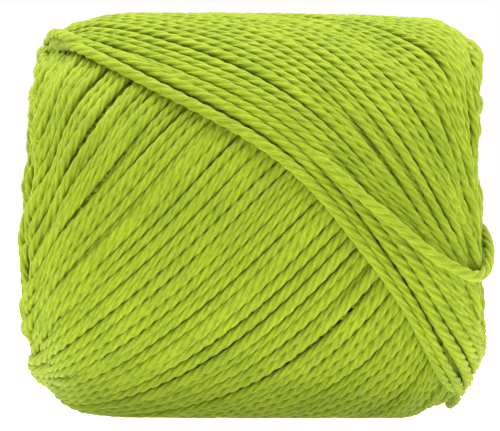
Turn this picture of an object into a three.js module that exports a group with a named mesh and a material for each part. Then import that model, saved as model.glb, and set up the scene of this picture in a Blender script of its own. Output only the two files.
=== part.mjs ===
// A centre-pull ball of four-ply cotton yarn lying on its side, with the loose outer end of its yarn.
//
// Millimetres, +Z up. The winding axis runs along X, and -Y is the side where the last turn shows. The ball
// rests on a small flat spot at z = 0, and the origin is at the middle of its footprint.

import * as THREE from 'three';

// The yarn
const YARN_DIAMETER = 2.4;
const LAYER = 1.9; // how far one layer of strands stands above the layer below it, nested a little
const YARN_COLOUR = 0xa8c832;

// The wound form: a barrel with rounded corners
const BALL_LENGTH = 103;
const BALL_DEPTH = 91;
const BALL_HEIGHT = 89;
const PROFILE_POWER = 5.6; // how square the barrel is from the side; 2 is an ellipse
const SECTION_POWER = 2.3; // how square it is from its end
const CENTRE_HEIGHT = 44.8; // a little less than the form's lower half, so it is pressed flat where it rests
const SLUMP = 0.02; // how much longer it has settled, low on its sides
const SLUMP_AT = 28;
const SLUMP_REACH = 20;

// A pinch in the right-hand rim, where the loose end pulls the strands in
const PINCH_DEPTH = 1.4;
const PINCH_Y = -30;
const PINCH_Z = 38;
const PINCH_REACH = 10;

// Where the yarn piles up and it bulges, along x and z: the place, the reach, and how far it comes out
const BULGES = [
  { x: 46, z: 82, reach: 12, alongX: 1.9, alongZ: 1.8 },
  { x: -52, z: 38, reach: 16, alongX: -1.2, alongZ: 0 },
  { x: 50, z: 14, reach: 9, alongX: 1.8, alongZ: 0 },
];

// The winding: every turn is a tilted hoop, and the hoops step round the winding axis. At an angle t round
// a hoop, its latitude's tangent is -tan(tilt) (sin t + SQUARE sin 3t + CUP cos 2t) + DRIFT, and its angle
// round the axis is t + its age + START + SWAY sin 2t + BOW cos 2t + TWIST cos 3t. The terms in capitals
// other than START bend the hoops on the front, and fade out towards the back.
const HOOP_TILT = THREE.MathUtils.degToRad(49);
const START = THREE.MathUtils.degToRad(9.5);
const DRIFT = 0.13;
const SQUARE = -0.06;
const CUP = -0.11;
const SWAY = -0.05;
const BOW = -0.14;
const TWIST = 0.16;
const FRONT_FROM = -0.55; // the cosines of the angles round the axis where the bends start and are whole
const FRONT_WHOLE = 0.2;
const ROUNDS = 12; // how many times an age is worked out again from the bends at its place
const RIDGE_SLOPE = 0.12; // the width of the slope below the last hoop, in radians
const BUNDLES = 16; // soft swells of strands that lie close together, in one lap of the hoops
const BUNDLE_SWELL = 0.25;
const FADE_FROM = 0.9; // the winding thins out between these parts of the hoops' tilt
const FADE_TO = 1.2;

// The hollow at each end, where the hoops turn round the place of the core
const HOLLOW_RADIUS = 34;
const HOLLOW_DEPTH = 9;
const HOLLOW_BOWL = 0.6; // how far inward its soft rim reaches, as a part of the radius

// The loose outer end. It leaves the band of the last turns, crosses the strands to the right-hand end of
// the ball, turns up there in a small hook and is tucked into the hollow. The points are along its middle.
const END_ROUTE = [
  [19.0, -47.9, 54.9],
  [22.0, -48.4, 52.0],
  [25.5, -48.6, 48.8],
  [29.5, -48.5, 45.7],
  [33.0, -48.3, 42.6],
  [36.5, -47.8, 39.6],
  [40.0, -47.0, 36.9],
  [43.4, -45.6, 34.9],
  [46.3, -43.4, 33.3],
  [48.4, -40.8, 32.5],
  [50.3, -37.7, 32.6],
  [51.6, -34.2, 33.9],
  [52.2, -31.0, 36.0],
  [52.3, -28.0, 38.2],
  [51.9, -24.8, 40.2],
  [51.0, -21.5, 42.0],
  [49.9, -18.2, 43.4],
  [48.9, -15.0, 44.6],
  [48.1, -11.5, 45.5],
  [47.1, -7.8, 46.0],
  [46.0, -4.0, 46.1],
  [45.2, -0.8, 45.6],
];
const END_STEPS = 30;
const END_SIDES = 8;
const HALVES = 2; // a round section is divided half by half

// The facets of the ball
const COLUMNS = 96; // around the winding axis
const ROWS = 44; // from end to end

const TAU = 2 * Math.PI;
const TINY = 1e-6;
const { clamp, lerp, smoothstep } = THREE.MathUtils;

/** Brings an angle into the range from 0 to a full turn. */
function wrapped(angle) {
  return ((angle % TAU) + TAU) % TAU;
}

/** The distance from the barrel's middle to its surface along a unit direction. */
function barrelRadius(direction) {
  const along = Math.abs(direction.x) / (BALL_LENGTH / 2);
  const deep = Math.abs(direction.y) / (BALL_DEPTH / 2);
  const high = Math.abs(direction.z) / (BALL_HEIGHT / 2);
  const across = (deep ** SECTION_POWER + high ** SECTION_POWER) ** (1 / SECTION_POWER);
  return (along ** PROFILE_POWER + across ** PROFILE_POWER) ** (-1 / PROFILE_POWER);
}

/**
 * The age of a hoop that crosses a direction, as an angle of the hoops' lap round the axis. An age of 0 is
 * the last hoop, and a full turn is one lap earlier. Two hoops cross there, one with its phase round 0 and
 * one with its phase round half a turn, and falling picks the second.
 */
function hoopAge(direction, falling) {
  const tangent = direction.x / Math.max(Math.hypot(direction.y, direction.z), TINY);
  const around = Math.atan2(direction.z, -direction.y);
  let phase = falling ? Math.PI : 0;
  let plain = around;
  for (let k = 0; k < ROUNDS; k += 1) {
    const front = smoothstep(Math.cos(plain), FRONT_FROM, FRONT_WHOLE);
    const bends = front * (SQUARE * Math.sin(3 * phase) + CUP * Math.cos(2 * phase));
    const sine = (front * DRIFT - tangent) / Math.tan(HOOP_TILT) - bends;
    const reach = Math.asin(clamp(sine, -1, 1));
    phase = falling ? Math.PI - reach : reach;
    const bent = SWAY * Math.sin(2 * phase) + BOW * Math.cos(2 * phase) + TWIST * Math.cos(3 * phase);
    plain = around - front * bent;
  }
  return wrapped(plain - phase - START);
}

/**
 * How far the strands at a direction stand above the bare barrel. The newest hoop there lies on top, the
 * last turn of all stands one layer above what it crosses, and strands that bunch make soft swells. Near
 * the ends, where no hoop reaches, all of it fades out.
 */
function windingHeight(direction) {
  const rising = hoopAge(direction, false);
  const falling = hoopAge(direction, true);
  const age = Math.min(rising, falling);
  const underRidge = smoothstep(Math.max(rising, falling), TAU - RIDGE_SLOPE, TAU);
  const layers = lerp(1 - Math.min(age / Math.PI, 1), 1, underRidge);
  const swell = BUNDLE_SWELL * Math.cos(BUNDLES * age);
  const latitude = Math.asin(clamp(Math.abs(direction.x), 0, 1));
  const reached = 1 - smoothstep(latitude, FADE_FROM * HOOP_TILT, FADE_TO * HOOP_TILT);
  return reached * (LAYER * layers + swell);
}

/** The hollow in an end at a distance from the axis: deepest in the middle, with a soft rim. */
function hollowDepth(fromAxis) {
  const inward = clamp(1 - fromAxis / HOLLOW_RADIUS, 0, 1);
  return HOLLOW_DEPTH * inward * smoothstep(inward, 0, HOLLOW_BOWL);
}

/** How far the loose end pulls in the right-hand rim at a point. */
function pinch(point) {
  const away = Math.hypot(point.y - PINCH_Y, point.z - PINCH_Z) / PINCH_REACH;
  return point.x > 0 ? PINCH_DEPTH * Math.exp(-(away ** 2)) : 0;
}

/** Moves a point out where the ball bulges. */
function bulge(point) {
  for (const { x, z, reach, alongX, alongZ } of BULGES) {
    const size = Math.exp(-((point.x - x) ** 2 + (point.z - z) ** 2) / reach ** 2);
    point.x += alongX * size;
    point.z += alongZ * size;
  }
}

/** A point of the wound surface along a unit direction, pressed flat where it rests. */
function surfacePoint(direction) {
  const point = direction.clone().multiplyScalar(barrelRadius(direction) + windingHeight(direction));
  point.x -= Math.sign(point.x) * hollowDepth(Math.hypot(point.y, point.z));
  point.z = Math.max(point.z + CENTRE_HEIGHT, 0);
  point.x *= 1 + SLUMP * Math.exp(-(((point.z - SLUMP_AT) / SLUMP_REACH) ** 2));
  bulge(point);
  point.x -= pinch(point);
  return point;
}

/** The wound ball: a ball of facets with its poles on the winding axis, drawn out to the wound surface. */
function woundBall() {
  const geometry = new THREE.SphereGeometry(1, COLUMNS, ROWS).rotateZ(-Math.PI / 2);
  const places = geometry.getAttribute('position');
  const direction = new THREE.Vector3();
  for (let i = 0; i < places.count; i += 1) {
    direction.fromBufferAttribute(places, i).normalize();
    places.setXYZ(i, ...surfacePoint(direction));
  }
  geometry.computeVertexNormals();
  return geometry;
}

/** The loose end: a round cord along its route. */
function looseEnd() {
  const section = new THREE.Shape().absarc(0, 0, YARN_DIAMETER / 2, 0, TAU);
  const route = new THREE.CatmullRomCurve3(END_ROUTE.map((place) => new THREE.Vector3(...place)));
  return new THREE.ExtrudeGeometry(section, {
    extrudePath: route,
    steps: END_STEPS,
    curveSegments: END_SIDES / HALVES,
    bevelEnabled: false,
  });
}

/** Cotton: matt, with no metal in it. */
function cotton() {
  return new THREE.MeshStandardMaterial({ color: YARN_COLOUR, roughness: 0.95, metalness: 0 });
}

/** A named solid of cotton. */
function cottonPiece(name, geometry) {
  const piece = new THREE.Mesh(geometry, cotton());
  piece.name = name;
  return piece;
}

const skein = new THREE.Group();
skein.add(cottonPiece('wound_ball', woundBall()));
skein.add(cottonPiece('loose_end', looseEnd()));

export default skein;
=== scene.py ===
"""Dresses a centre-pull ball of four-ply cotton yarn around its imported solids.

The yarn is laid turn by turn, as on the winding machine. Every turn is a tilted hoop round the ball, each a
little further round than the last, and it lies on what was laid before it. What still shows at the end is
made as strands of four plies, and the loose outer end crosses them as a cord.
"""

import logging
import math
from dataclasses import dataclass, field
from enum import Enum

import bpy
import numpy as np
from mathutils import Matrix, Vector


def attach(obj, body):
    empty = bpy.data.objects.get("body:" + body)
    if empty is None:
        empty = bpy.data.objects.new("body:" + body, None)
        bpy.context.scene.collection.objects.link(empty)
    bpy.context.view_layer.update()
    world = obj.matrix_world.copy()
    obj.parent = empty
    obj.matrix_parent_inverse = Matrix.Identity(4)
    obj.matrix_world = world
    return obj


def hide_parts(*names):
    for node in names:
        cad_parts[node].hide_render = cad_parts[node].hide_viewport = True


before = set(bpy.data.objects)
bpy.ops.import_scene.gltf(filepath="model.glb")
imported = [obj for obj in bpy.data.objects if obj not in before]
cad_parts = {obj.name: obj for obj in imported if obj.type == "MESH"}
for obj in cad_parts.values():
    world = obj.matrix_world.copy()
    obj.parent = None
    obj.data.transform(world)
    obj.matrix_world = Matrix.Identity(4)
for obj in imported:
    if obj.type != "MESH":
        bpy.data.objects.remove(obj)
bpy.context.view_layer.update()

MM = 0.001
TURN = 2 * math.pi
YARN_UV = "along the yarn"
PLIES = 4

logging.basicConfig(level=logging.INFO, format="%(message)s")
log = logging.getLogger("skein")


# ---------------------------------------------------------------------------------------------------------
# Camera, floor and light
# ---------------------------------------------------------------------------------------------------------


@dataclass(frozen=True)
class Studio:
    """A white table under soft light, seen square on from a little above.

    Lengths are in metres.
    """

    view_width: float = 0.11185
    aim: tuple[float, float, float] = (-0.0007, 0.0, 0.0453)
    lens: float = 900.0
    sensor: float = 36.0
    elevation: float = math.radians(0.7)
    floor_size: float = 6.0
    sky: float = 1.0
    clip: tuple[float, float] = (0.05, 50.0)

    def build(self) -> None:
        """Makes the camera, the floor and the lights."""
        self.camera()
        self.floor()
        self.lights()

    def camera(self) -> None:
        """Places the camera so that the width at the ball's middle fills the picture."""
        data = bpy.data.cameras.new("camera")
        data.lens, data.sensor_width = self.lens, self.sensor
        distance = self.view_width * self.lens / self.sensor
        back = Vector((0, -math.cos(self.elevation), math.sin(self.elevation)))
        eye = bpy.data.objects.new("camera", data)
        eye.location = Vector(self.aim) + back * distance
        eye.rotation_euler = (-back).to_track_quat("-Z", "Y").to_euler()
        data.clip_start, data.clip_end = self.clip
        bpy.context.collection.objects.link(eye)
        bpy.context.scene.camera = eye

    def floor(self) -> None:
        """Lays the white table."""
        half = self.floor_size / 2
        mesh = bpy.data.meshes.new("table")
        corners = [(-half, -half, 0), (half, -half, 0), (half, half, 0), (-half, half, 0)]
        mesh.from_pydata(corners, [], [(0, 1, 2, 3)])
        table = bpy.data.objects.new("table", mesh)
        bpy.context.collection.objects.link(table)
        mesh.materials.append(white_table())

    def lights(self) -> None:
        """Sets a white sky and large soft lamps above, and at both sides."""
        world = bpy.data.worlds.new("sky")
        bpy.context.scene.world = world
        world.use_nodes = True
        sky = world.node_tree.nodes["Background"]
        sky.inputs["Color"].default_value = (1, 1, 1, 1)
        sky.inputs["Strength"].default_value = self.sky
        self.lamp("top lamp", (0.0, 0.0, 0.95), 1.0, 34.0)
        self.lamp("left lamp", (-0.9, -0.1, 0.3), 0.5, 0.7)
        self.lamp("right lamp", (0.9, -0.1, 0.3), 0.5, 0.5)

    @staticmethod
    def lamp(name: str, place: tuple[float, float, float], size: float, power: float) -> None:
        """Adds a square lamp that faces the middle of the ball.

        Args:
            name: The lamp's name.
            place: Where it hangs, in metres.
            size: The side of its square, in metres.
            power: Its power, in watts.
        """
        data = bpy.data.lights.new(name, "AREA")
        data.shape, data.size, data.energy = "SQUARE", size, power
        lamp = bpy.data.objects.new(name, data)
        lamp.location = place
        ball_middle = Vector((0, 0, 0.045))
        lamp.rotation_euler = (ball_middle - Vector(place)).to_track_quat("-Z", "Y").to_euler()
        bpy.context.collection.objects.link(lamp)


# ---------------------------------------------------------------------------------------------------------
# Finishes
# ---------------------------------------------------------------------------------------------------------


def linear(colour: str) -> tuple[float, float, float, float]:
    """Turns an sRGB hex colour into linear light.

    Args:
        colour: Six hex digits after a #.

    Returns:
        Red, green, blue and an alpha of 1.
    """
    parts = (int(colour[i : i + 2], 16) / 255 for i in (1, 3, 5))
    return (*(p / 12.92 if p <= 0.04045 else ((p + 0.055) / 1.055) ** 2.4 for p in parts), 1.0)


def node(tree: bpy.types.NodeTree, kind: str, inputs: dict | None = None, **settings) -> bpy.types.Node:
    """Adds a node with its settings, and fills or links its inputs.

    Args:
        tree: The material's nodes.
        kind: The node's type.
        inputs: Each socket's name or number, with a value or an output socket to link from.
        **settings: The node's own settings.

    Returns:
        The new node.
    """
    made = tree.nodes.new(kind)
    for name, value in settings.items():
        setattr(made, name, value)
    for name, value in (inputs or {}).items():
        if isinstance(value, bpy.types.NodeSocket):
            tree.links.new(value, made.inputs[name])
        else:
            made.inputs[name].default_value = value
    return made


def bare_material(name: str) -> tuple[bpy.types.Material, bpy.types.NodeTree]:
    """Makes a material with no nodes in it yet.

    Args:
        name: The material's name.

    Returns:
        The material and its empty tree of nodes.
    """
    material = bpy.data.materials.new(name)
    material.use_nodes = True
    material.node_tree.nodes.clear()
    return material, material.node_tree


def white_table() -> bpy.types.Material:
    """Matt white laminate, which glows a little so that it stays white and even under the lamps.

    Returns:
        The finished material.
    """
    material, tree = bare_material("white laminate")
    look = {
        "Base Color": linear("#FAFAFA"),
        "Roughness": 0.9,
        "Emission Color": (1, 1, 1, 1),
        "Emission Strength": 1.25,
    }
    shader = node(tree, "ShaderNodeBsdfPrincipled", look)
    node(tree, "ShaderNodeOutputMaterial", {"Surface": shader.outputs["BSDF"]})
    return material


@dataclass(frozen=True)
class CottonYarn:
    """Carded cotton, spun, plied and dyed: matt, with a soft bloom of short fibres at its edges.

    The plies vary between the shade and the light colour, the valleys between them are darkened towards a
    painted shade colour that stands in for the shadow falling between the plies, and the bloom tints the
    sheen. depth is how far a valley takes on that painted shade.
    """

    name: str
    shade: str
    light: str
    # A dark colour painted into the valleys between the plies as their shade
    valley_shade: str
    bloom: str
    depth: float = 0.3
    roughness: float = 0.85
    sheen: float = 0.3

    def build(self) -> bpy.types.Material:
        """Makes the material.

        The fibres are drawn along the plies, 0.25 mm apart, coarser than real ones so that they show.

        Returns:
            The finished material.
        """
        material, tree = bare_material(self.name)
        along = node(tree, "ShaderNodeUVMap", uv_map=YARN_UV)
        stretched = node(
            tree, "ShaderNodeMapping", {"Vector": along.outputs["UV"], "Scale": (0.8, 4.0, 1.0)}
        )
        fibres = node(
            tree,
            "ShaderNodeTexNoise",
            {"Vector": stretched.outputs["Vector"], "Scale": 7.0, "Detail": 3.0, "Roughness": 0.6},
        )
        place = node(tree, "ShaderNodeTexCoord")
        patches = node(
            tree, "ShaderNodeTexNoise", {"Vector": place.outputs["Object"], "Scale": 160.0, "Detail": 2.0}
        )
        mixed = node(
            tree,
            "ShaderNodeMath",
            {0: patches.outputs["Fac"], 1: 0.35, 2: fibres.outputs["Fac"]},
            operation="MULTIPLY_ADD",
        )
        spread = node(
            tree,
            "ShaderNodeMapRange",
            {"Value": mixed.outputs["Value"], "From Min": 0.45, "From Max": 0.9},
        )
        tint = node(
            tree,
            "ShaderNodeMix",
            {"Factor": spread.outputs["Result"], 6: linear(self.shade), 7: linear(self.light)},
            data_type="RGBA",
        )
        # Painted shade: the valleys between the plies are darkened towards a dark colour, for the shadow that
        # falls between them
        valley = self.valleys(tree, along)
        shaded = node(
            tree,
            "ShaderNodeMix",
            {"Factor": valley, 6: tint.outputs[2], 7: linear(self.valley_shade)},
            data_type="RGBA",
        )
        bump = node(
            tree,
            "ShaderNodeBump",
            {"Height": fibres.outputs["Fac"], "Strength": 0.8, "Distance": 0.2 * MM},
        )
        shader = node(
            tree,
            "ShaderNodeBsdfPrincipled",
            {
                "Base Color": shaded.outputs[2],
                "Roughness": self.roughness,
                "Sheen Weight": self.sheen,
                "Sheen Roughness": 0.5,
                "Sheen Tint": linear(self.bloom),
                "Specular IOR Level": 0.2,
                "Normal": bump.outputs["Normal"],
            },
        )
        node(tree, "ShaderNodeOutputMaterial", {"Surface": shader.outputs["BSDF"]})
        return material

    def valleys(self, tree: bpy.types.NodeTree, along: bpy.types.Node) -> bpy.types.NodeSocket:
        """Finds the valleys between the plies, where v times their number is a whole number, to paint shade
        into them.

        Args:
            tree: The material's nodes.
            along: The UV map node.

        Returns:
            A factor of painted shade that is up to depth in the valleys, and 0 on the plies.
        """
        parts = node(tree, "ShaderNodeSeparateXYZ", {0: along.outputs["UV"]})
        plies = node(tree, "ShaderNodeMath", {0: parts.outputs["Y"], 1: float(PLIES)}, operation="MULTIPLY")
        near = node(tree, "ShaderNodeMath", {0: plies.outputs[0], 1: 0.5}, operation="PINGPONG")
        fade = node(
            tree,
            "ShaderNodeMapRange",
            {"Value": near.outputs[0], "From Min": 0.0, "From Max": 0.3, "To Min": self.depth, "To Max": 0.0},
            interpolation_type="SMOOTHSTEP",
        )
        return fade.outputs["Result"]


# ---------------------------------------------------------------------------------------------------------
# The form of the ball
# ---------------------------------------------------------------------------------------------------------


@dataclass(frozen=True)
class Bulge:
    """A soft swelling about a place along x and z: how wide it is, and how far it comes out."""

    x: float
    z: float
    reach: float
    along_x: float
    along_z: float


@dataclass(frozen=True)
class BallForm:
    """The barrel that the yarn is wound into, with its axis along X. Lengths are in millimetres.

    The powers say how square its outline and its section are. It is a little longer about slump_at, the
    ends are hollowed out to hollow_radius, and pinch_at is the y and z of the dent by the loose end.
    """

    length: float = 103.0
    depth: float = 91.0
    height: float = 89.0
    profile_power: float = 5.6
    section_power: float = 2.3
    centre_height: float = 44.8
    slump: float = 0.02
    slump_at: float = 28.0
    slump_reach: float = 20.0
    hollow_radius: float = 34.0
    hollow_depth: float = 9.0
    pinch_depth: float = 0.6
    pinch_at: tuple[float, float] = (-30.0, 38.0)
    pinch_reach: float = 10.0
    flat_softness: float = 0.5
    bulges: tuple[Bulge, ...] = (
        Bulge(x=46.0, z=82.0, reach=12.0, along_x=1.9, along_z=1.8),
        Bulge(x=-52.0, z=38.0, reach=16.0, along_x=-1.2, along_z=0.0),
        Bulge(x=50.0, z=14.0, reach=9.0, along_x=1.8, along_z=0.0),
        Bulge(x=51.0, z=40.0, reach=9.0, along_x=0.9, along_z=0.0),
    )

    def point(self, latitude: np.ndarray, around: np.ndarray) -> np.ndarray:
        """Points of the bare barrel, before the last layers are wound on.

        A direction is scaled by (|x|^p + (|y|^q + |z|^q)^(p/q))^(-1/p), the radius of a squared-off barrel.
        Each end is then drawn in towards the axis, and the lower half is a little longer. Each bulge is a
        bell curve about its place along x and z, and the dent by the loose end is another.

        Args:
            latitude: The angle from the middle plane towards the +X end.
            around: The angle round the axis from the front, upwards.

        Returns:
            The points, with a last axis of x, y and z.
        """
        aim = np.stack(
            [np.sin(latitude), -np.cos(latitude) * np.cos(around), np.cos(latitude) * np.sin(around)], -1
        )
        x, y, z = (2 * np.abs(aim[..., k]) / (self.length, self.depth, self.height)[k] for k in range(3))
        across = (y**self.section_power + z**self.section_power) ** (1 / self.section_power)
        radius = (x**self.profile_power + across**self.profile_power) ** (-1 / self.profile_power)
        place = aim * radius[..., None]
        inward = np.clip(1 - np.hypot(place[..., 1], place[..., 2]) / self.hollow_radius, 0, 1)
        place[..., 0] -= np.sign(place[..., 0]) * self.hollow_depth * inward * smooth_step(inward, 0, 0.6)
        place[..., 2] += self.centre_height
        low = np.exp(-(((place[..., 2] - self.slump_at) / self.slump_reach) ** 2))
        place[..., 0] *= 1 + self.slump * low
        for bulge in self.bulges:
            off = (place[..., 0] - bulge.x) ** 2 + (place[..., 2] - bulge.z) ** 2
            size = np.exp(-off / bulge.reach**2)
            place += size[..., None] * np.array([bulge.along_x, 0.0, bulge.along_z])
        away = np.hypot(place[..., 1] - self.pinch_at[0], place[..., 2] - self.pinch_at[1]) / self.pinch_reach
        place[..., 0] -= np.where(place[..., 0] > 0, self.pinch_depth * np.exp(-(away**2)), 0)
        return place

    def lifted(
        self, latitude: np.ndarray, around: np.ndarray, lift: np.ndarray
    ) -> tuple[np.ndarray, np.ndarray]:
        """Points at a height above the bare barrel, along its own normal.

        Args:
            latitude: The angle from the middle plane.
            around: The angle round the axis.
            lift: The height above the barrel.

        Returns:
            The points and the outward normals there.
        """
        step = 1e-3
        along = self.point(latitude + step, around) - self.point(latitude - step, around)
        round_it = self.point(latitude, around + step) - self.point(latitude, around - step)
        normal = unit(np.cross(along, round_it))
        outward = np.sign(np.sum(normal * (self.point(latitude, around) - self.centre()), -1, keepdims=True))
        normal = normal * np.where(outward == 0, 1, outward)
        return self.point(latitude, around) + normal * lift[..., None], normal

    def place_of(self, point: np.ndarray) -> tuple[float, float, float]:
        """Finds where over the barrel a point near it lies.

        Args:
            point: The point.

        Returns:
            Its latitude, its angle round the axis and its distance from the barrel.
        """
        latitudes, arounds = np.meshgrid(np.linspace(-1.4, 1.4, 561), np.linspace(-math.pi, math.pi, 721))
        gaps = np.linalg.norm(self.point(latitudes, arounds) - point, axis=-1)
        nearest = np.unravel_index(gaps.argmin(), gaps.shape)
        return float(latitudes[nearest]), float(arounds[nearest]), float(gaps[nearest])

    def centre(self) -> np.ndarray:
        """The middle of the barrel."""
        return np.array([0.0, 0.0, self.centre_height])

    def pressed(self, place: np.ndarray) -> np.ndarray:
        """Presses points flat on the table: z becomes half of z plus the root of z squared plus a bit.

        Args:
            place: The points.

        Returns:
            The points, none of them below the table.
        """
        out = place.copy()
        out[..., 2] = 0.5 * (place[..., 2] + np.sqrt(place[..., 2] ** 2 + self.flat_softness**2))
        return out


def smooth_step(value: np.ndarray, low: float, high: float) -> np.ndarray:
    """Rises smoothly from 0 at low to 1 at high, as 3 t squared less 2 t cubed.

    Args:
        value: The values.
        low: Where the rise starts.
        high: Where it ends.

    Returns:
        The heights of the rise.
    """
    t = np.clip((value - low) / (high - low), 0, 1)
    return t * t * (3 - 2 * t)


def unit(vectors: np.ndarray) -> np.ndarray:
    """Scales vectors to a length of 1."""
    return vectors / np.maximum(np.linalg.norm(vectors, axis=-1, keepdims=True), 1e-12)


def blurred(values: np.ndarray, reach: float, axis: int = 0, wrap: bool = False) -> np.ndarray:
    """Smooths an array along one axis with a bell curve.

    Args:
        values: The array.
        reach: The bell's standard deviation, in steps of the array.
        axis: The axis to smooth along.
        wrap: Whether the axis closes on itself.

    Returns:
        The smoothed array.
    """
    half = max(1, int(3 * reach))
    bell = np.exp(-0.5 * (np.arange(-half, half + 1) / reach) ** 2)
    bell /= bell.sum()
    moved = np.moveaxis(values, axis, -1)
    padded = np.pad(moved, [(0, 0)] * (moved.ndim - 1) + [(half, half)], mode="wrap" if wrap else "edge")
    size = padded.shape[-1]
    spectrum = np.fft.rfft(padded, size) * np.fft.rfft(bell, size)
    out = np.fft.irfft(spectrum, size)[..., 2 * half :]
    return np.moveaxis(out, -1, axis)


# ---------------------------------------------------------------------------------------------------------
# The winding
# ---------------------------------------------------------------------------------------------------------


@dataclass(frozen=True)
class Lay:
    """How the last laps of hoops lie. Angles are in radians, and an age of 0 is the last loop.

    A lap is one full round of the hoops about the axis, and an age of one turn of the circle is a lap ago.
    Each pair gives a value at an age of 0 and at an age of a lap, and it changes evenly between them.

    Attributes:
        tilts: The hoops' tilt now, half a lap ago and a lap ago.
        start_at: Where round the axis the last loop starts.
        drift: How far the hoops lie off the middle.
        square, cup, sway, bow, twist: How they depart from plain hoops, as hoop() says.
        gather, gather_at, gather_reach: How far the last ones are gathered in at a corner, and where.
        gather_age: The age by which that has faded.
        tilt_swing: How much their tilt wanders.
        layer: How far the newest crests stand above the oldest, in millimetres.
        spacing: The distance between turns that lie side by side, in millimetres.
        least_room, room_fade: The room below which turns squeeze each other down, and over what range.
        squeeze: How far down they go, in millimetres.
        turns_a_lap: The turns in a lap, of which those past crowded_from lie closer by the share crowded.
        laps: How many laps are wound as one yarn.
        end_phase: Where round its hoop the yarn ends.
        last_backs, last_counts: The place in the order of hoops of the last few turns, by turns back.
    """

    tilts: tuple[float, float, float] = (math.radians(49), math.radians(53), math.radians(47))
    start_at: float = math.radians(9.5)
    drift: tuple[float, float] = (0.13, -0.02)
    square: tuple[float, float] = (-0.06, -0.06)
    cup: tuple[float, float] = (-0.11, 0.0)
    sway: tuple[float, float] = (-0.05, 0.12)
    bow: tuple[float, float] = (-0.14, 0.11)
    twist: tuple[float, float] = (0.16, -0.26)
    gather: float = math.radians(3.8)
    gather_at: float = math.radians(-65)
    gather_reach: float = math.radians(35)
    gather_age: float = 0.5
    tilt_swing: float = math.radians(2.2)
    layer: float = 1.9
    spacing: float = 2.35
    least_room: float = 1.7
    room_fade: float = 0.5
    squeeze: float = 1.7
    turns_a_lap: int = 100
    crowded_from: int = 46
    crowded: float = 0.8
    laps: float = 1.4
    end_phase: float = math.radians(-13)
    last_backs: tuple[float, ...] = (0.0, 0.06, 0.15, 0.3, 0.8, 1.3, 1.85)
    last_counts: tuple[float, ...] = (2.5, 1.9, 1.1, 0.9, 0.0, 0.0, 1.15)

    def hoop(
        self, phase: np.ndarray, age: np.ndarray, more_tilt: np.ndarray | float
    ) -> tuple[np.ndarray, np.ndarray]:
        """Where a hoop runs.

        With phase t the latitude's tangent is -tan(tilt) (sin t + square sin 3t + cup cos 2t) + drift, and
        the angle round the axis is t + age + start + sway sin 2t + bow cos 2t + twist cos 3t. All but the
        plain hoop, tan(tilt) sin t and t + age + start, fades out towards the back. The last hoops are
        gathered in at the lower right-hand corner, by a bell curve round the axis.

        Args:
            phase: The angle round the hoop.
            age: The hoop's age.
            more_tilt: What is added to its tilt.

        Returns:
            The latitude and the angle round the axis.
        """
        laps = np.minimum(age / TURN, 1.1)
        first, middle, last = self.tilts
        tilt = first * (1 - laps) * (1 - 2 * laps) + middle * 4 * laps * (1 - laps)
        tilt = tilt - last * laps * (1 - 2 * laps)
        square, cup, drift, sway, bow, twist = (
            pair[0] + (pair[1] - pair[0]) * laps
            for pair in (self.square, self.cup, self.drift, self.sway, self.bow, self.twist)
        )
        around = phase + age + self.start_at
        front = smooth_step(np.cos(around), -0.55, 0.2)
        swing = np.sin(phase) + front * (square * np.sin(3 * phase) + cup * np.cos(2 * phase))
        latitude = np.arctan(-np.tan(tilt + more_tilt) * swing + front * drift)
        bent = sway * np.sin(2 * phase) + bow * np.cos(2 * phase) + twist * np.cos(3 * phase)
        around = around + front * bent
        off_corner = (around - self.gather_at + math.pi) % TURN - math.pi
        near = np.exp(-((off_corner / self.gather_reach) ** 2) - (age / self.gather_age) ** 2)
        return latitude - self.gather * near * (latitude > 0), around

    def newest(self, relief: "Relief") -> np.ndarray:
        """Finds the age of the newest hoop over each cell, by drawing a lap of the hoops on the grid.

        Args:
            relief: The grid.

        Returns:
            The ages.
        """
        age, phase = np.meshgrid(np.linspace(TURN, 0, 800), np.linspace(0, TURN, 2400), indexing="ij")
        latitude, around = self.hoop(phase, age, 0.0)
        ages = np.full_like(relief.tops, TURN)
        np.minimum.at(ages, relief.cells(relief.along(latitude), around), age)
        return ages

    def height(self, relief: "Relief") -> np.ndarray:
        """How far the crests of the finished strands stand above the bare barrel, on a whole.

        The newest hoops lie on top, and the height falls to nothing by the age of half a lap.

        Args:
            relief: The grid to find the heights on.

        Returns:
            The heights, in millimetres.
        """
        latitude, _ = relief.grid()
        reached = 1 - smooth_step(np.abs(latitude), 0.9 * self.tilts[0], 1.2 * self.tilts[0])
        layers = 1 - np.minimum(self.newest(relief) / math.pi, 1)
        return 0.3 + self.layer * reached * layers


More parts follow.
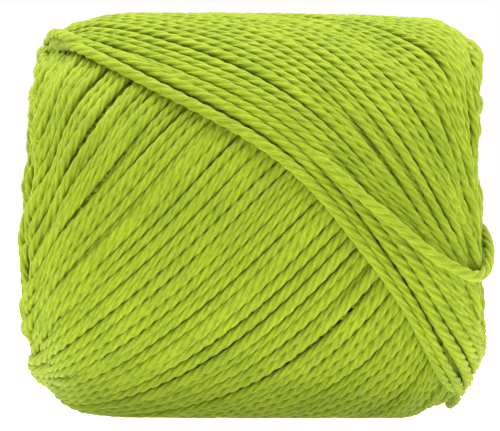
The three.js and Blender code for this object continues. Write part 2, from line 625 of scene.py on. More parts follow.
@dataclass
class Relief:
    """The height of the wound surface over the bare barrel, on a grid of cells that are about square.

    One side of the grid runs along the barrel's outline from end to end, and the other runs round it.
    """

    form: BallForm
    cell: float = 0.4
    latitudes: np.ndarray = field(init=False)
    lengths: np.ndarray = field(init=False)
    girths: np.ndarray = field(init=False)
    tops: np.ndarray = field(init=False)

    def __post_init__(self) -> None:
        """Measures the barrel's outline, and clears the grid."""
        self.latitudes = np.linspace(-math.pi / 2 + 1e-3, math.pi / 2 - 1e-3, 4001)
        outline = self.form.point(self.latitudes, np.full_like(self.latitudes, math.radians(45)))
        outline[:, 2] -= self.form.centre_height
        self.girths = np.hypot(outline[:, 1], outline[:, 2])
        steps = np.hypot(np.diff(outline[:, 0]), np.diff(self.girths))
        self.lengths = np.concatenate([[0], np.cumsum(steps)])
        rows = int(self.lengths[-1] / self.cell) + 1
        columns = int(TURN * self.girths.max() / self.cell)
        self.tops = np.zeros((rows, columns))

    def along(self, latitude: np.ndarray) -> np.ndarray:
        """The distance along the outline at a latitude."""
        return np.interp(latitude, self.latitudes, self.lengths)

    def latitude(self, along: np.ndarray) -> np.ndarray:
        """The latitude at a distance along the outline."""
        return np.interp(along, self.lengths, self.latitudes)

    def girth(self, along: np.ndarray) -> np.ndarray:
        """The distance from the axis at a distance along the outline."""
        return np.maximum(np.interp(along, self.lengths, self.girths), 1.0)

    def cells(self, along: np.ndarray, around: np.ndarray) -> tuple[np.ndarray, np.ndarray]:
        """Finds the cell of each place.

        Args:
            along: The distance along the outline.
            around: The angle round the axis.

        Returns:
            The row and the column.
        """
        rows, columns = self.tops.shape
        row = np.clip((along / self.cell).astype(int), 0, rows - 1)
        return row, ((around % TURN) / TURN * columns).astype(int) % columns

    def grid(self) -> tuple[np.ndarray, np.ndarray]:
        """Finds the middle of each cell.

        Returns:
            The latitude and the angle round the axis.
        """
        rows, columns = self.tops.shape
        latitude = self.latitude((np.arange(rows) + 0.5) * self.cell)
        around = (np.arange(columns) + 0.5) / columns * TURN
        return np.broadcast_arrays(latitude[:, None], around[None, :])

    @staticmethod
    def crests_of(crests: np.ndarray, cells: float) -> np.ndarray:
        """Spreads each height over its neighbours, where it is the highest.

        Args:
            crests: The heights on the grid.
            cells: How many cells each is spread over.

        Returns:
            The highest value within that distance of each cell.
        """
        for _ in range(int(cells)):
            crests = np.maximum(crests, np.maximum(np.roll(crests, 1, 1), np.roll(crests, -1, 1)))
            padded = np.pad(crests, ((1, 1), (0, 0)), mode="edge")
            crests = np.maximum(crests, np.maximum(padded[2:], padded[:-2]))
        return crests

    def smoothed(self, values: np.ndarray, reach: float) -> np.ndarray:
        """Blurs a grid with a bell curve.

        Args:
            values: The grid.
            reach: The bell's standard deviation, in millimetres.

        Returns:
            The blurred grid.
        """
        steps = reach / self.cell
        return blurred(blurred(values, steps, axis=1, wrap=True), steps, axis=0)


@dataclass
class Strand:
    """A length of yarn as it lies: where its middle is, over the barrel, at even steps.

    along and around place it on the barrel, and lift is its middle's height above the barrel. sunk is how
    far the layers there had been pressed in when it was laid, and width the share of its width it keeps.
    """

    along: np.ndarray
    around: np.ndarray
    lift: np.ndarray
    sunk: np.ndarray
    width: np.ndarray
    shown: np.ndarray | None = None


@dataclass
class Winder:
    """Lays yarn on the barrel, a stretch at a time, each on top of what is there.

    The layers below give way under the tension. So that the form keeps its size, all of it is pressed
    down evenly after every few turns. Lengths are in millimetres.

    Attributes:
        relief: The surface that it winds on.
        radius: The radius that a strand keeps when it is packed.
        step: The distance between the places along a strand.
        nest: How far a strand sinks in between those below.
        wait: How many of the last stretches a new one doesn't lie on, but beside.
        roll, roll_rounds, roll_most, roll_blend: How a strand rolls off the crest below it.
        stiff: Over what length it bends up and down.
        join: Over what length a stretch leads on from the one before.
        press_every, press_reach: After how many stretches the form is pressed, and how evenly.
        heap_reach: How wide the heaps are that a strand slides off.
        slide, slide_most: How readily it slides off them, and how far at most.
        settle_reach: Over what length a strand follows the layers as they are pressed in.
    """

    relief: Relief
    radius: float
    step: float = 0.3
    nest: float = 0.25
    wait: int = 0
    roll: float = 0.3
    roll_rounds: int = 4
    roll_most: float = 1.2
    roll_blend: float = 6.0
    stiff: float = 2.6
    join: float = 8.0
    press_every: int = 4
    press_reach: float = 6.0
    heap_reach: float = 3.0
    slide: float = 5.0
    slide_most: float = 3.0
    settle_reach: float = 1.5
    pressed_in: np.ndarray = field(init=False)
    slopes: tuple[np.ndarray, np.ndarray] = field(init=False)
    waiting: list[Strand] = field(default_factory=list)
    laid: int = 0

    def __post_init__(self) -> None:
        """Starts with nothing pressed in, and no slopes."""
        self.pressed_in = np.zeros_like(self.relief.tops)
        self.slopes = (np.zeros_like(self.relief.tops), np.zeros_like(self.relief.tops))

    def sideways(self, along: np.ndarray, around: np.ndarray) -> tuple[np.ndarray, np.ndarray]:
        """Finds the direction across a strand.

        Args:
            along: The strand's distance along the outline.
            around: Its angle round the axis.

        Returns:
            The distance along the outline and the angle round the axis of a millimetre sideways.
        """
        girth = self.relief.girth(along)
        forward = np.gradient(along)
        turning = np.gradient(around) * girth
        size = np.maximum(np.hypot(forward, turning), 1e-9)
        return -turning / size, forward / size / girth

    def touch(self, along: np.ndarray, around: np.ndarray) -> tuple[np.ndarray, np.ndarray]:
        """Rests a strand on what is below it.

        A round strand at an offset w from a point of height h has its middle at h plus the root of the
        radius squared less w squared. The highest of these holds it up, but it sinks in a little.

        Args:
            along: The strand's distance along the outline.
            around: The strand's angle round the axis.

        Returns:
            The height of its middle, and how much higher it would be held on its one side than on its other.
        """
        across, turning = self.sideways(along, around)
        offsets = self.radius * np.linspace(-0.8, 0.8, 9)
        rows, columns = self.relief.cells(
            along + offsets[:, None] * across, around + offsets[:, None] * turning
        )
        held = self.relief.tops[rows, columns] + np.sqrt(self.radius**2 - offsets**2)[:, None]
        lean = held[5:].max(0) - held[:4].max(0)
        return 0.7 * held.max(0) + 0.3 * held.mean(0) - self.nest, lean

    def lay(
        self,
        along: np.ndarray,
        around: np.ndarray,
        before: Strand | None = None,
        squeezed: tuple[np.ndarray, np.ndarray] | None = None,
    ) -> Strand:
        """Lays a stretch of yarn: it rolls off its neighbours, settles, and raises the surface.

        Args:
            along: The strand's planned distance along the outline, at even steps.
            around: Its planned angle round the axis.
            before: The stretch that it carries on from.
            squeezed: How far it is squeezed down between its neighbours, and the share of its width.

        Returns:
            The strand as it lies.
        """
        across, turning = self.sideways(along, around)
        down, width = squeezed or (0.0, np.ones(len(along)))
        start = self.downhill(along, around, across, turning)
        shift = start
        for _ in range(self.roll_rounds):
            _, lean = self.touch(along + shift * across, around + shift * turning)
            push = blurred(np.clip(lean, -1.2, 1.2), self.roll_blend / self.step)
            shift = np.clip(shift - self.roll * push, start - self.roll_most, start + self.roll_most)
        run = np.arange(len(along)) * self.step
        if before is not None:
            gap_along = before.along[-1] - (along + shift * across)[0]
            gap_around = (before.around[-1] - (around + shift * turning)[0] + math.pi) % TURN - math.pi
            fade = np.exp(-((run / self.join) ** 2))
            along = along + shift * across + gap_along * fade
            around = around + shift * turning + gap_around * fade
        else:
            along, around = along + shift * across, around + shift * turning
        lift, _ = self.touch(along, around)
        lift = lift - down
        if before is not None:
            tail = min(len(before.lift), int(12.0 / self.step))
            lift = blurred(np.concatenate([before.lift[-tail:], lift]), self.stiff / self.step)[tail:]
            lift += (before.lift[-1] - lift[0]) * np.exp(-((run / 3.0) ** 2))
        else:
            lift = blurred(lift, self.stiff / self.step)
        strand = Strand(along, around, lift, self.sunk_at(along, around), width)
        self.waiting.append(strand)
        while len(self.waiting) > self.wait:
            self.raise_to(self.waiting.pop(0))
        self.laid += 1
        if self.laid % self.press_every == 0:
            self.press()
        return strand

    def downhill(
        self, along: np.ndarray, around: np.ndarray, across: np.ndarray, turning: np.ndarray
    ) -> np.ndarray:
        """How far a strand slides off the heaps below it, sideways.

        Args:
            along: The strand's distance along the outline.
            around: Its angle round the axis.
            across: The sideways direction, as a distance along the outline.
            turning: The sideways direction, as an angle round the axis.

        Returns:
            The distances, in millimetres.
        """
        cells = self.relief.cells(along, around)
        slope = self.slopes[0][cells] * across + self.slopes[1][cells] * turning
        distance = blurred(-self.slide * slope, self.roll_blend / self.step)
        return np.clip(distance, -self.slide_most, self.slide_most)

    def sunk_at(self, along: np.ndarray, around: np.ndarray) -> np.ndarray:
        """How far the layers have been pressed in so far below a strand."""
        return self.pressed_in[self.relief.cells(along, around)]

    def press(self) -> None:
        """Presses the form back to its size."""
        extra = self.relief.smoothed(self.relief.tops, self.press_reach)
        self.relief.tops -= extra
        self.pressed_in += extra
        heaps = self.relief.smoothed(self.relief.tops, self.heap_reach)
        columns = heaps.shape[1]
        round_it = (np.roll(heaps, -1, 1) - np.roll(heaps, 1, 1)) / 2 * columns / TURN
        self.slopes = (np.gradient(heaps, axis=0) / self.relief.cell, round_it)

    def outline(self, strand: Strand) -> tuple[np.ndarray, np.ndarray, np.ndarray]:
        """Finds the cells that a strand covers.

        Args:
            strand: The strand.

        Returns:
            The rows and the columns of the cells, and the height of its upper side over each.
        """
        across, turning = self.sideways(strand.along, strand.around)
        offsets = self.radius * np.linspace(-0.98, 0.98, 13)
        rows, columns = self.relief.cells(
            strand.along + offsets[:, None] * across, strand.around + offsets[:, None] * turning
        )
        later = self.sunk_at(strand.along, strand.around) - strand.sunk
        return rows, columns, strand.lift - later + np.sqrt(self.radius**2 - offsets**2)[:, None]

    def raise_to(self, strand: Strand) -> None:
        """Raises the surface to a strand's upper side.

        Args:
            strand: The strand.
        """
        rows, columns, upper = self.outline(strand)
        np.maximum.at(self.relief.tops, (rows, columns), upper)

    def settle(self, strand: Strand) -> None:
        """Sinks a strand as far as the layers were pressed in after it was laid.

        Args:
            strand: The strand.
        """
        later = self.sunk_at(strand.along, strand.around) - strand.sunk
        strand.lift = strand.lift - blurred(later, self.settle_reach / self.step)
        strand.sunk = strand.sunk + later

    def find_shown(self, strand: Strand, slack: float = 0.15, spare: float = 3.5) -> None:
        """Marks where a strand still shows, and a little further, so that its ends stay under others.

        Args:
            strand: The strand.
            slack: How far below the finished surface it still counts as showing, in millimetres.
            spare: How much further it is marked, in millimetres.
        """
        rows, columns, upper = self.outline(strand)
        bare = (upper >= self.relief.tops[rows, columns] - slack).sum(0) >= 2
        reach = int(spare / self.step)
        strand.shown = np.convolve(bare.astype(float), np.ones(2 * reach + 1), mode="same") > 0.5


@dataclass(frozen=True)
class Wander:
    """How a turn wanders round the axis: over how many values, and by what angle."""

    reach: float
    size: float


class End(Enum):
    """The two end faces of the ball, and on which side of the middle each is."""

    RIGHT = 1
    LEFT = -1

    @property
    def turns(self) -> str:
        """The name of the turns that show in it."""
        return f"{self.name.lower()}_end_turns"


@dataclass
class Winding:
    """All the yarn of the ball that may show: the end faces first, then the last laps.

    Attributes:
        form: The bare barrel.
        lay: How the last laps lie.
        radius: The radius of a packed strand, in millimetres.
        seed: Starts the source of chance.
        end_laps, end_turns_a_lap: How often the older turns at the ends go round, with how many turns.
        end_passes: The distances from the axis at which the first and the last of them pass it.
        end_sink: How far they go under the others past that, in millimetres.
        values_a_turn: How many values plan a turn of the last laps.
        first_stretch: The part of a turn after which the first stretch ends, under the ball.
        calm_turns: The oldest turns, whose tilt wanders little.
        wanders: How each turn wanders on its own, from bumps of a few centimetres to short ones.
        crest_reach, form_reach: How wide the crests are, and how evenly the surface is brought to its
            wanted height, in millimetres.
        emptied: The height of the surface before the finished strands are laid on it, in millimetres.
        end_lift: The heights that the yarn's end is brought to.
        strands: The strands by the part of the ball that they belong to.
    """

    form: BallForm
    lay: Lay
    radius: float
    seed: int = 7
    end_laps: int = 12
    end_turns_a_lap: int = 26
    end_passes: tuple[float, float] = (3.2, 37.0)
    end_sink: float = 3.0
    values_a_turn: int = 1500
    first_stretch: float = 0.23
    calm_turns: int = 4
    wanders: tuple[Wander, ...] = (Wander(250, 0.006), Wander(900, 0.007), Wander(60, 0.003))
    crest_reach: float = 2.4
    form_reach: float = 4.0
    emptied: float = -6.0
    end_lift: np.ndarray = field(default_factory=lambda: np.zeros(1))
    strands: dict[str, list[Strand]] = field(default_factory=dict)

    def wind(self) -> Relief:
        """Lays all the yarn, oldest first, and brings the finished surface to its wanted height.

        Returns:
            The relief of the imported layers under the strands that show.
        """
        rng = np.random.default_rng(self.seed)
        winder = Winder(Relief(self.form), self.radius)
        self.strands = {end.turns: [] for end in End}
        self.wind_ends(winder, rng)
        self.wind_laps(winder, rng)
        relief = winder.relief
        crests = Relief.crests_of(relief.tops, self.crest_reach / relief.cell)
        extra = relief.smoothed(crests - self.lay.height(relief), self.form_reach)
        relief.tops -= extra
        winder.pressed_in += extra
        laid = [strand for group in self.strands.values() for strand in group]
        for strand in laid:
            winder.settle(strand)
        self.lift_end(winder)
        relief.tops[:] = self.emptied
        for strand in laid:
            winder.raise_to(strand)
        for strand in laid:
            winder.find_shown(strand)
        return relief

    def lift_end(self, winder: Winder, lead: float = 20.0) -> None:
        """Brings the end of the last stretch to the loose end's height.

        Args:
            winder: What laid it.
            lead: Over what length it is brought there, in millimetres.
        """
        last = self.strands["last_laps"][-1]
        left = np.arange(len(self.end_lift))[::-1] * winder.step
        bend = smooth_step(-left, -lead, -END_OVERLAP)
        last.lift[-len(left) :] += bend * (self.end_lift - last.lift[-len(left) :])

    def wind_ends(self, winder: Winder, rng: np.random.Generator) -> None:
        """Lays the older turns that only show in the hollows at the ends, from the middle outwards.

        Each passes the axis at its own distance, the newer the further out, and goes under the others a
        little past its nearest point.

        Args:
            winder: What lays them.
            rng: The source of chance.
        """
        turns = self.end_laps * self.end_turns_a_lap
        passes = np.linspace(*self.end_passes, turns) + rng.normal(0, 0.5, turns)
        turned = np.arange(turns) * TURN / self.end_turns_a_lap + rng.normal(0, 0.05, turns)
        end_x = 0.47 * self.form.length
        for away, start in zip(passes, turned):
            tilt = math.atan(end_x / max(away, 1.5))
            for end in End:
                reach = math.acos(min(1.0, math.tan(math.radians(40)) / math.tan(tilt)))
                phase = np.linspace(-reach, reach, 400)
                latitude = end.value * np.arctan(math.tan(tilt) * np.cos(phase))
                around = end.value * start + phase
                past = np.abs(away * np.tan(phase))
                under = self.end_sink * smooth_step(past, 8.0 + 0.4 * away, 14.0 + 0.5 * away)
                squeezed = (under, np.ones(len(phase)))
                self.strands[end.turns].append(self.laid(winder, latitude, around, squeezed=squeezed))

    def wind_laps(self, winder: Winder, rng: np.random.Generator) -> None:
        """Lays the last laps as one unbroken yarn, turn after turn.

        The yarn is followed back from its end. A turn back, it forms the outermost loop, and the very last
        turn lies between that loop and the one before it. Neighbouring turns wander together in sets, and
        each wanders a little on its own, the older ones the more.

        Args:
            winder: What lays them.
            rng: The source of chance.
        """
        lay = self.lay
        winder.wait = 3
        turns = int(lay.turns_a_lap * lay.laps)
        each = self.values_a_turn
        back = np.arange(turns * each)[::-1] / each
        phase = lay.end_phase + TURN * back
        count = np.interp(back, lay.last_backs, lay.last_counts) + np.maximum(back - lay.last_backs[-1], 0)
        count -= (1 - lay.crowded) * np.maximum(count - lay.crowded_from, 0)
        age = count * TURN / lay.turns_a_lap
        # Neighbours lie closer together in sets of about five and nine turns
        sets = (0.08 + 0.05 * age) * (np.sin(TURN * back / 5.3) + 0.8 * np.sin(TURN * back / 8.7 + 1))
        wobble = sum(self.noise(rng, len(phase), wander.reach, wander.size) for wander in self.wanders)
        wobble += sets * TURN / lay.turns_a_lap
        spread = self.noise(rng, len(phase), 5 * each, lay.tilt_swing)
        spread += self.noise(rng, len(phase), 700, 0.15 * lay.tilt_swing)
        spread += self.noise(rng, len(phase), 2000, 0.1 * lay.tilt_swing) * age
        spread *= np.clip(np.arange(len(back)) / (self.calm_turns * each) - 0.25, 0, 1)
        latitude, around = lay.hoop(phase, age, spread * np.clip((back - 2) / 6, 0, 0.6 + 0.25 * age))
        around = around + wobble * np.clip(back / 2 - 0.5, 0.3, 1)
        down, width = self.crowding(latitude, around, each)
        down += self.noise(rng, len(phase), 110, 0.15)
        cuts = [0, *range(int(self.first_stretch * each), len(back), each), len(back)]
        pieces = []
        for start, end in zip(cuts, cuts[1:]):
            before = pieces[-1] if pieces else None
            part = slice(start, end)
            squeezed = (down[part], width[part])
            pieces.append(self.laid(winder, latitude[part], around[part], before, squeezed))
        while winder.waiting:
            winder.raise_to(winder.waiting.pop(0))
        self.lead_to_end(winder, pieces[-1])
        self.strands["last_laps"] = [self.joined(pieces)]

    def lead_to_end(self, winder: Winder, strand: Strand, lead: float = 28.0) -> None:
        """Bends the end of the last stretch to where the loose end starts.

        Args:
            winder: What laid it.
            strand: The stretch.
            lead: Over what length it is bent, in millimetres.
        """
        route = even_curve(np.array(END_ROUTE), winder.step)
        first = np.array(self.form.place_of(route[0]))
        second = np.array(self.form.place_of(route[int(END_OVERLAP / winder.step)]))
        first[1] += round((strand.around[-1] - first[1]) / TURN) * TURN
        second[1] += round((first[1] - second[1]) / TURN) * TURN
        left = (np.arange(len(strand.along))[::-1] * winder.step)[:, None]
        latitude, around, lift = (second + (first - second) * left / END_OVERLAP).T
        bend = smooth_step(-left[:, 0], -lead, -END_OVERLAP)
        strand.along = strand.along + bend * (winder.relief.along(latitude) - strand.along)
        strand.around = strand.around + bend * (around - strand.around)
        strand.sunk = winder.sunk_at(strand.along, strand.around)
        self.end_lift = lift

    @staticmethod
    def joined(pieces: list[Strand]) -> Strand:
        """Joins stretches that carry on from each other.

        Args:
            pieces: The stretches in order.

        Returns:
            One strand.
        """
        turned = [0.0]
        for one, other in zip(pieces, pieces[1:]):
            turned.append(turned[-1] + round((one.around[-1] - other.around[0]) / TURN) * TURN)
        around = np.concatenate([piece.around + more for piece, more in zip(pieces, turned)])
        return Strand(
            np.concatenate([piece.along for piece in pieces]),
            around,
            np.concatenate([piece.lift for piece in pieces]),
            np.concatenate([piece.sunk for piece in pieces]),
            np.concatenate([piece.width for piece in pieces]),
        )

    def laid(
        self,
        winder: Winder,
        latitude: np.ndarray,
        around: np.ndarray,
        before: Strand | None = None,
        squeezed: tuple[np.ndarray, np.ndarray] | None = None,
    ) -> Strand:
        """Lays a path given by its latitude and its angle round the axis, at even steps along it.

        Args:
            winder: What lays it.
            latitude: The planned latitude.
            around: The planned angle round the axis.
            before: The stretch that it carries on from.
            squeezed: How far it is squeezed down between its neighbours, and the share of its width.

        Returns:
            The strand as it lies.
        """
        place = self.form.point(latitude, around)
        lengths = np.concatenate([[0], np.cumsum(np.linalg.norm(np.diff(place, axis=0), axis=1))])
        count = max(8, int(lengths[-1] / winder.step))
        even = np.linspace(0, lengths[-1], count)
        along = np.interp(even, lengths, winder.relief.along(latitude))
        if squeezed is not None:
            squeezed = tuple(np.interp(even, lengths, values) for values in squeezed)
        return winder.lay(along, np.interp(even, lengths, around), before, squeezed)

    def crowding(self, latitude: np.ndarray, around: np.ndarray, each: int) -> tuple[np.ndarray, np.ndarray]:
        """How the last laps give way where the turns crowd.

        Where there is less room than the yarn's spacing, it is squeezed narrower. Where there is too little
        room for all turns, every second one is squeezed down, and where there is too little even for the
        rest, every second one of those.

        Args:
            latitude: The planned latitude of the yarn.
            around: Its planned angle round the axis, unbroken.
            each: The number of values in a turn.

        Returns:
            How far each part is squeezed down, in millimetres, and the share of its width that it keeps.
        """
        place = self.form.point(latitude, around)
        to_next = np.concatenate([place[each:] - place[:-each], place[-each:] - place[-2 * each : -each]])
        forward = unit(np.gradient(place, axis=0))
        aside = to_next - (to_next * forward).sum(1, keepdims=True) * forward
        room = blurred(np.linalg.norm(aside, axis=1), 20)
        depth, standing = np.zeros(len(room)), np.ones(len(room))
        for share in (2, 4):
            lack = np.clip((self.lay.least_room - room) / self.lay.room_fade, 0, 1)
            yields = np.clip(-4 * np.sin((around + math.pi / 2) / share), 0, 1)
            depth += standing * yields * self.lay.squeeze * lack
            standing = standing * (1 - yields)
            room = room * (1 + lack)
        return depth, np.clip(room / self.lay.spacing, 0.72, 1.04)

    @staticmethod
    def noise(rng: np.random.Generator, count: int, reach: float, size: float) -> np.ndarray:
        """Smooth noise along the yarn.

        Args:
            rng: The source of chance.
            count: How many values to make.
            reach: How many values its bumps are wide.
            size: Their usual height.

        Returns:
            The values.
        """
        values = blurred(rng.normal(0, 1, count), reach)
        return values * size / max(values.std(), 1e-12)


# ---------------------------------------------------------------------------------------------------------
# The strands
# ---------------------------------------------------------------------------------------------------------


@dataclass(frozen=True)
class PliedYarn:
    """Four plies laid up with an S twist. Lengths are in millimetres.

    radii gives the section of a ply from one valley on, as shares of the yarn's radius, and flatten how
    much of its thickness a strand keeps where it lies on the ball.
    """

    diameter: float = 2.7
    pitch: float = 14.0
    radii: tuple[float, ...] = (0.68, 0.9, 1.0, 0.9)
    flatten: float = 0.88

    @property
    def sides(self) -> int:
        """How many corners its section has."""
        return PLIES * len(self.radii)

    def tube(
        self,
        middle: np.ndarray,
        outward: np.ndarray,
        twist_from: float = 0.0,
        width: np.ndarray | float = 1.0,
    ) -> tuple[np.ndarray, np.ndarray, np.ndarray]:
        """Carries the plied section along a line.

        The section's radius falls at each valley between two plies, and the section turns once in a pitch,
        so the edges of the mesh run along the plies.

        Args:
            middle: The points of the line.
            outward: The direction away from the ball at each point.
            twist_from: The length of yarn before the first point.
            width: The share of its width that it keeps at each point.

        Returns:
            The points of the tube ring by ring, its faces, and each face corner's place on the UV map.
        """
        forward = unit(np.gradient(middle, axis=0))
        side = unit(np.cross(forward, outward))
        up = np.cross(side, forward)
        side = side * np.reshape(width, (-1, 1))
        lengths = np.concatenate([[0], np.cumsum(np.linalg.norm(np.diff(middle, axis=0), axis=1))])
        lengths = lengths + twist_from
        corner = np.arange(self.sides)
        radius = self.diameter / 2 * np.tile(self.radii, PLIES)
        angle = corner / self.sides * TURN - (lengths / self.pitch * TURN)[:, None]
        points = (
            middle[:, None]
            + (radius * np.cos(angle))[..., None] * up[:, None] * self.flatten
            + (radius * np.sin(angle))[..., None] * side[:, None]
        )
        rings = len(middle)
        ring, spoke = np.meshgrid(np.arange(rings - 1), corner, indexing="ij")
        after = (spoke + 1) % self.sides
        faces = np.stack(
            [
                ring * self.sides + spoke,
                ring * self.sides + after,
                (ring + 1) * self.sides + after,
                (ring + 1) * self.sides + spoke,
            ],
            -1,
        ).reshape(-1, 4)
        round_yarn = math.pi * self.diameter
        u = np.stack([lengths[ring], lengths[ring], lengths[ring + 1], lengths[ring + 1]], -1) / round_yarn
        v = np.stack([spoke, spoke + 1, spoke + 1, spoke], -1) / self.sides
        uv = np.stack([u, v], -1).reshape(-1, 4, 2)
        caps, cap_uv = self.caps(rings)
        return points.reshape(-1, 3), np.concatenate([faces, caps]), np.concatenate([uv, cap_uv])

    def caps(self, rings: int) -> tuple[np.ndarray, np.ndarray]:
        """Closes both ends of a tube with strips of four-cornered faces.

        Args:
            rings: How many rings the tube has.

        Returns:
            The faces and their places on the UV map.
        """
        n = self.sides
        k = np.arange(n // 2 - 1)
        strip = np.stack([(n - k) % n, k + 1, k + 2, n - 1 - k], -1)
        last = (rings - 1) * n
        faces = np.concatenate([strip[:, ::-1], strip + last])
        return faces, np.zeros((len(faces), 4, 2))


@dataclass
class MeshPile:
    """Gathers many small meshes into one."""

    points: list[np.ndarray] = field(default_factory=list)
    faces: list[np.ndarray] = field(default_factory=list)
    uvs: list[np.ndarray] = field(default_factory=list)
    smooth: list[np.ndarray] = field(default_factory=list)
    count: int = 0

    def add(self, points: np.ndarray, faces: np.ndarray, uv: np.ndarray) -> None:
        """Adds a mesh of four-cornered faces. Those without a size on the UV map are its flat caps.

        Args:
            points: The mesh's points.
            faces: The four corners of each face.
            uv: The place of each corner on the UV map.
        """
        self.smooth.append(np.ptp(uv, axis=1).max(1) > 0)
        self.points.append(points)
        self.faces.append(faces + self.count)
        self.uvs.append(uv)
        self.count += len(points)

    def face_count(self) -> int:
        """How many faces it has."""
        return sum(len(faces) for faces in self.faces)

    def build(self, name: str, material: bpy.types.Material) -> bpy.types.Object:
        """Makes the object, in metres and at the origin.

        Args:
            name: The object's name.
            material: Its finish.

        Returns:
            The new object.
        """
        points = np.concatenate(self.points) * MM
        faces, uv = np.concatenate(self.faces), np.concatenate(self.uvs)
        mesh = bpy.data.meshes.new(name)
        mesh.vertices.add(len(points))
        mesh.vertices.foreach_set("co", points.astype(np.float32).ravel())
        mesh.loops.add(faces.size)
        mesh.loops.foreach_set("vertex_index", faces.astype(np.int32).ravel())
        mesh.polygons.add(len(faces))
        mesh.polygons.foreach_set("loop_start", np.arange(0, faces.size, 4, dtype=np.int32))
        mesh.polygons.foreach_set("use_smooth", np.concatenate(self.smooth))
        mesh.update(calc_edges=True)
        layer = mesh.uv_layers.new(name=YARN_UV)
        layer.data.foreach_set("uv", uv.astype(np.float32).ravel())
        mesh.materials.append(material)
        made = bpy.data.objects.new(name, mesh)
        bpy.context.collection.objects.link(made)
        return made


@dataclass
class WoundBall:
    """The ball: every strand that shows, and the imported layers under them.

    Attributes:
        form: The bare barrel.
        lay: How the last laps lie.
        yarn: The yarn's section.
        packed_radius: The radius of a strand packed among others, in millimetres.
        most_faces: The most faces that an object gets.
        ring_every: How many places of a strand there are to a ring of its tube.
        most_steps: The most places in a stretch that isn't cut.
        inner_rows, inner_columns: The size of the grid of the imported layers.
        inner_below: How far they lie under the deepest gaps near by, in millimetres.
        inner_reach: How wide those gaps are, in millimetres.
    """

    form: BallForm = field(default_factory=BallForm)
    lay: Lay = field(default_factory=Lay)
    yarn: PliedYarn = field(default_factory=PliedYarn)
    packed_radius: float = 1.2
    most_faces: int = 90_000
    ring_every: int = 4
    most_steps: int = 6000
    inner_rows: int = 90
    inner_columns: int = 120
    inner_below: float = 1.0
    inner_reach: float = 2.0

    def build(self, finish: bpy.types.Material) -> list[bpy.types.Object]:
        """Winds the ball and makes its meshes.

        Args:
            finish: The yarn's material.

        Returns:
            The new objects.
        """
        winding = Winding(self.form, self.lay, self.packed_radius)
        bed = winding.wind()
        made = [self.inner_layers(bed, finish)]
        for name, strands in winding.strands.items():
            piles = [MeshPile()]
            for tube in (tube for strand in strands for tube in self.shown_tubes(strand, bed)):
                if piles[-1].face_count() + len(tube[1]) > self.most_faces:
                    piles.append(MeshPile())
                piles[-1].add(*tube)
            made += [pile.build(f"{name}_{number}", finish) for number, pile in enumerate(piles, 1)]
        for piece in made:
            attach(piece, "root")
            log.info("%s: %d faces", piece.name, len(piece.data.polygons))
        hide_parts("wound_ball")
        return made

    def shown_tubes(self, strand: Strand, relief: Relief) -> list[tuple[np.ndarray, ...]]:
        """Makes the stretches of a strand that show, each as a closed tube.

        A very long one is cut where it passes under the ball.

        Args:
            strand: The strand.
            relief: The grid that it was laid on.

        Returns:
            The points, faces and UV map of each tube.
        """
        edges = np.flatnonzero(np.diff(np.concatenate([[0], strand.shown.astype(int), [0]])))
        middle, outward = self.form.lifted(relief.latitude(strand.along), strand.around, strand.lift)
        lengths = np.concatenate([[0], np.cumsum(np.linalg.norm(np.diff(middle, axis=0), axis=1))])
        stretches = []
        for start, stop in edges.reshape(-1, 2):
            while stop - start > self.most_steps:
                half = self.most_steps // 2
                lowest = half + middle[start + half : start + 2 * half, 2].argmin()
                cut = start + lowest // self.ring_every * self.ring_every
                stretches.append((start, cut + 1))
                start = cut
            stretches.append((start, stop))
        tubes = []
        for start, stop in stretches:
            if stop - start >= 4 * self.ring_every:
                part = slice(start, stop, self.ring_every)
                points, faces, uv = self.yarn.tube(
                    middle[part], outward[part], lengths[start] - lengths[-1], strand.width[part]
                )
                tubes.append((self.form.pressed(points), faces, uv))
        return tubes

    def inner_layers(self, bed: Relief, finish: bpy.types.Material) -> bpy.types.Object:
        """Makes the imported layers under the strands, as a closed form that shows only in deep gaps.

        Args:
            bed: The relief of the finished surface.
            finish: The yarn's material.

        Returns:
            The new object.
        """
        rows, columns = self.inner_rows, self.inner_columns
        along = np.linspace(0, bed.lengths[-1], rows)
        around = np.arange(columns) / columns * TURN
        grid_along, grid_around = np.meshgrid(along, around, indexing="ij")
        floor = -bed.smoothed(Relief.crests_of(-bed.tops, self.inner_reach / bed.cell), self.inner_reach)
        lift = floor[bed.cells(grid_along, grid_around)] - self.inner_below
        lift[0], lift[-1] = lift[1].mean(), lift[-2].mean()
        points, _ = self.form.lifted(bed.latitude(grid_along), grid_around, lift)
        points[0], points[-1] = points[0].mean(0), points[-1].mean(0)
        row, column = np.meshgrid(np.arange(rows - 1), np.arange(columns), indexing="ij")
        after = (column + 1) % columns
        faces = np.stack(
            [
                row * columns + column,
                (row + 1) * columns + column,
                (row + 1) * columns + after,
                row * columns + after,
            ],
            -1,
        ).reshape(-1, 4)
        uv = np.stack([grid_along[row, column], grid_around[row, column]], -1).reshape(-1, 1, 2)
        pile = MeshPile()
        pile.add(self.form.pressed(points.reshape(-1, 3)), faces, np.repeat(uv, 4, axis=1))
        return pile.build("inner_layers", finish)


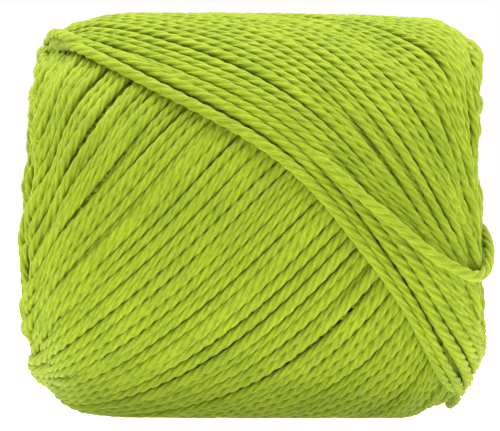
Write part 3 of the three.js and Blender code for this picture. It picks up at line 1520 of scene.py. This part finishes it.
# The loose end's middle line, in millimetres, from the band of the last turns to the right-hand hollow
END_ROUTE = [
    (19.0, -47.9, 54.9),
    (22.0, -48.4, 52.0),
    (25.5, -48.6, 48.8),
    (29.5, -48.5, 45.7),
    (33.0, -48.3, 42.6),
    (36.5, -47.8, 39.6),
    (40.0, -47.0, 36.9),
    (43.4, -45.6, 34.9),
    (46.3, -43.4, 33.3),
    (48.4, -40.8, 32.5),
    (50.3, -37.7, 32.6),
    (51.6, -34.2, 33.9),
    (52.2, -31.0, 36.0),
    (52.3, -28.0, 38.2),
    (51.9, -24.8, 40.2),
    (51.0, -21.5, 42.0),
    (49.9, -18.2, 43.4),
    (48.9, -15.0, 44.6),
    (48.1, -11.5, 45.5),
    (47.1, -7.8, 46.0),
    (46.0, -4.0, 46.1),
    (45.2, -0.8, 45.6),
]


# How far the last stretch of the ball reaches into the loose end, in millimetres
END_OVERLAP = 4.0


@dataclass
class LooseEnd:
    """The outer end of the yarn, which crosses the strands and is tucked into the right-hand hollow.

    Over the length turn_in from its start it turns from facing as the strands do to facing away from the
    ball's middle. Lengths are in millimetres.
    """

    yarn: PliedYarn = field(default_factory=lambda: PliedYarn(diameter=2.75, flatten=0.9))
    step: float = 0.5
    turn_in: float = 10.0

    def build(self, finish: bpy.types.Material, form: BallForm) -> bpy.types.Object:
        """Args:
            finish: The yarn's material.
            form: The ball that it lies on.

        Returns:
            The new object.
        """
        middle = even_curve(np.array(END_ROUTE), self.step)
        latitude, around, lift = form.place_of(middle[0])
        _, start_outward = form.lifted(np.array([latitude]), np.array([around]), np.array([lift]))
        outward = unit(middle - form.centre())
        fade = np.exp(-((np.arange(len(middle)) * self.step / self.turn_in) ** 2))[:, None]
        outward = unit(outward + fade * (start_outward - outward[0]))
        pile = MeshPile()
        pile.add(*self.yarn.tube(middle, outward, -END_OVERLAP))
        piece = pile.build("loose_end_yarn", finish)
        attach(piece, "root")
        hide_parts("loose_end")
        return piece


def even_curve(knots: np.ndarray, step: float) -> np.ndarray:
    """A smooth curve through points, at even steps.

    Between two points it is the cubic whose slope at each point is half the way from its neighbour before
    to its neighbour after.

    Args:
        knots: The points.
        step: The distance between points of the curve.

    Returns:
        The curve's points.
    """
    ends = np.concatenate([[2 * knots[0] - knots[1]], knots, [2 * knots[-1] - knots[-2]]])
    t = np.linspace(0, len(knots) - 1 - 1e-9, 40 * len(knots))
    k = t.astype(int)
    s = (t - k)[:, None]
    p0, p1, p2, p3 = (ends[k + i] for i in range(4))
    curve = p1 + 0.5 * s * (p2 - p0 + s * (2 * p0 - 5 * p1 + 4 * p2 - p3 + s * (3 * (p1 - p2) + p3 - p0)))
    lengths = np.concatenate([[0], np.cumsum(np.linalg.norm(np.diff(curve, axis=0), axis=1))])
    even = np.linspace(0, lengths[-1], int(lengths[-1] / step) + 1)
    return np.stack([np.interp(even, lengths, curve[:, i]) for i in range(3)], -1)


def main() -> None:
    """Builds the studio, the loose end and the ball."""
    bpy.context.scene.view_settings.view_transform = "Standard"
    Studio().build()
    # The fourth colour is the shade painted into the valleys between the plies
    lime = CottonYarn("lime cotton yarn", "#556704", "#7B8A0B", "#3A5102", "#BECB62").build()
    ball = WoundBall()
    LooseEnd().build(lime, ball.form)
    ball.build(lime)


if __name__ == "__main__":
    main()
